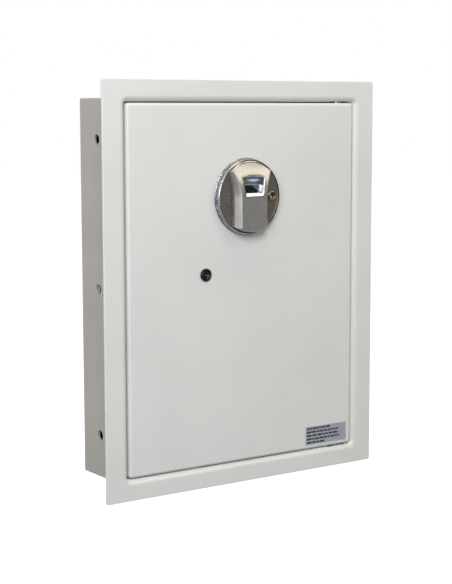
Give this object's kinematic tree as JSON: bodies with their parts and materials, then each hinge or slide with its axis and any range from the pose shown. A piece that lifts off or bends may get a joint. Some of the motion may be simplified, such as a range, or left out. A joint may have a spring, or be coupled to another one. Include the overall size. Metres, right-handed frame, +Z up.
{
  "type": "wall safe",
  "caption": "Recessed wall safe: trim flange, pan door on pivots, fingerprint knob with sliding bolts behind a strike, key override, shelves and battery tray.",
  "frame": {"origin": "centre of the wall opening on the wall's face, which is the plane of the flange's back", "axes": "+X to the viewer's right, +Y into the wall, +Z up"},
  "size_m": [0.408, 0.1193, 0.504],
  "materials": {
    "powder_coat": "off-white satin powder coat",
    "body_coat": "warm light grey powder coat",
    "inner_coat": "mid grey satin coat on shelves and cover",
    "zinc_steel": "clear zinc plated steel",
    "bright_steel": "ground bright steel",
    "ring_chrome": "bright chrome",
    "disc_metal": "dark brown-grey metallic disc, radially brushed",
    "grip_satin": "satin metallic grip",
    "rest_gloss": "blue-grey gloss",
    "sensor_black": "black sensor face",
    "indicator_lens": "dark smoked lens",
    "lock_black": "black satin",
    "brass": "machined brass",
    "label_foil": "silver-grey foil label with blank bars",
    "tray_plastic": "black moulded plastic",
    "board_green": "green circuit board",
    "battery_jacket": "plain wrapped cell",
    "cable_sheath": "black cable sheath",
    "mat_felt": "dark felt mat"
  },
  "bodies": {
    "housing": {"trim_flange": "powder_coat", "body_shell": "body_coat", "bolt_strike": "body_coat", "upper_hinge_bracket": "zinc_steel", "lower_hinge_bracket": "zinc_steel", "upper_shelf": "inner_coat", "lower_shelf": "inner_coat", "left_shelf_rail": "inner_coat", "right_shelf_rail": "inner_coat", "floor_mat": "mat_felt"},
    "door": {"door_panel": "powder_coat", "upper_pivot_block": "zinc_steel", "lower_pivot_block": "zinc_steel", "upper_hinge_pin": "bright_steel", "lower_hinge_pin": "bright_steel", "upper_hinge_washer": "bright_steel", "lower_hinge_washer": "bright_steel", "upper_bolt_guide": "zinc_steel", "lower_bolt_guide": "zinc_steel", "upper_cover_pillar": "zinc_steel", "lower_cover_pillar": "zinc_steel", "cover_screw_1": "bright_steel", "cover_screw_2": "bright_steel", "cover_screw_3": "bright_steel", "cover_screw_4": "bright_steel", "mechanism_cover": "inner_coat", "electronics_tray": "tray_plastic", "battery_1": "battery_jacket", "battery_2": "battery_jacket", "battery_3": "battery_jacket", "battery_4": "battery_jacket", "control_board": "board_green", "sensor_cable": "cable_sheath", "lock_case": "zinc_steel", "override_bezel": "lock_black", "override_lock_barrel": "lock_black", "override_lock_nut": "zinc_steel", "rating_label": "label_foil", "dial_ring": "ring_chrome", "spindle_bush": "brass"},
    "knob": {"knob_body": "disc_metal", "knob_bridge": "grip_satin", "window_bezel": "ring_chrome", "sensor_glass": "sensor_black", "finger_rest": "rest_gloss", "power_socket": "ring_chrome", "power_contact": "brass", "indicator_lens_upper": "indicator_lens", "indicator_lens_lower": "indicator_lens", "knob_spindle": "zinc_steel", "spindle_cam": "zinc_steel", "cam_screw": "bright_steel"},
    "bolts": {"bolt_carriage": "zinc_steel", "upper_bolt": "bright_steel", "lower_bolt": "bright_steel"},
    "lock_pin": {"lock_pin": "bright_steel"},
    "key": {"key_plug": "zinc_steel", "key_cam": "brass"},
    "battery_lid": {"battery_lid": "tray_plastic"}
  },
  "joints": [
    {"name": "door_open", "type": "hinge", "parent": "housing", "child": "door", "pos_m": [0.1508, 0.0058, 0], "axis": [0, 0, 1], "range_deg": [0, 110]},
    {"name": "knob_turn", "type": "hinge", "parent": "door", "child": "knob", "pos_m": [0, 0, 0.1094], "axis": [0, -1, 0], "range_deg": [0, 60]},
    {"name": "bolt_throw", "type": "slide", "parent": "door", "child": "bolts", "axis": [-1, 0, 0], "range_m": [0, 0.014]},
    {"name": "lock_pin_rise", "type": "slide", "parent": "door", "child": "lock_pin", "axis": [0, 0, 1], "range_m": [0, 0.007]},
    {"name": "key_turn", "type": "hinge", "parent": "door", "child": "key", "pos_m": [-0.0608, 0, 0.0154], "axis": [0, 1, 0], "range_deg": [0, 90]},
    {"name": "lid_slide", "type": "slide", "parent": "door", "child": "battery_lid", "axis": [0, 0, -1], "range_m": [0, 0.055]}
  ],
  "couplings": [
    {"joint": "bolt_throw", "follows": "knob_turn", "m_per_rad": 0.013369}
  ]
}
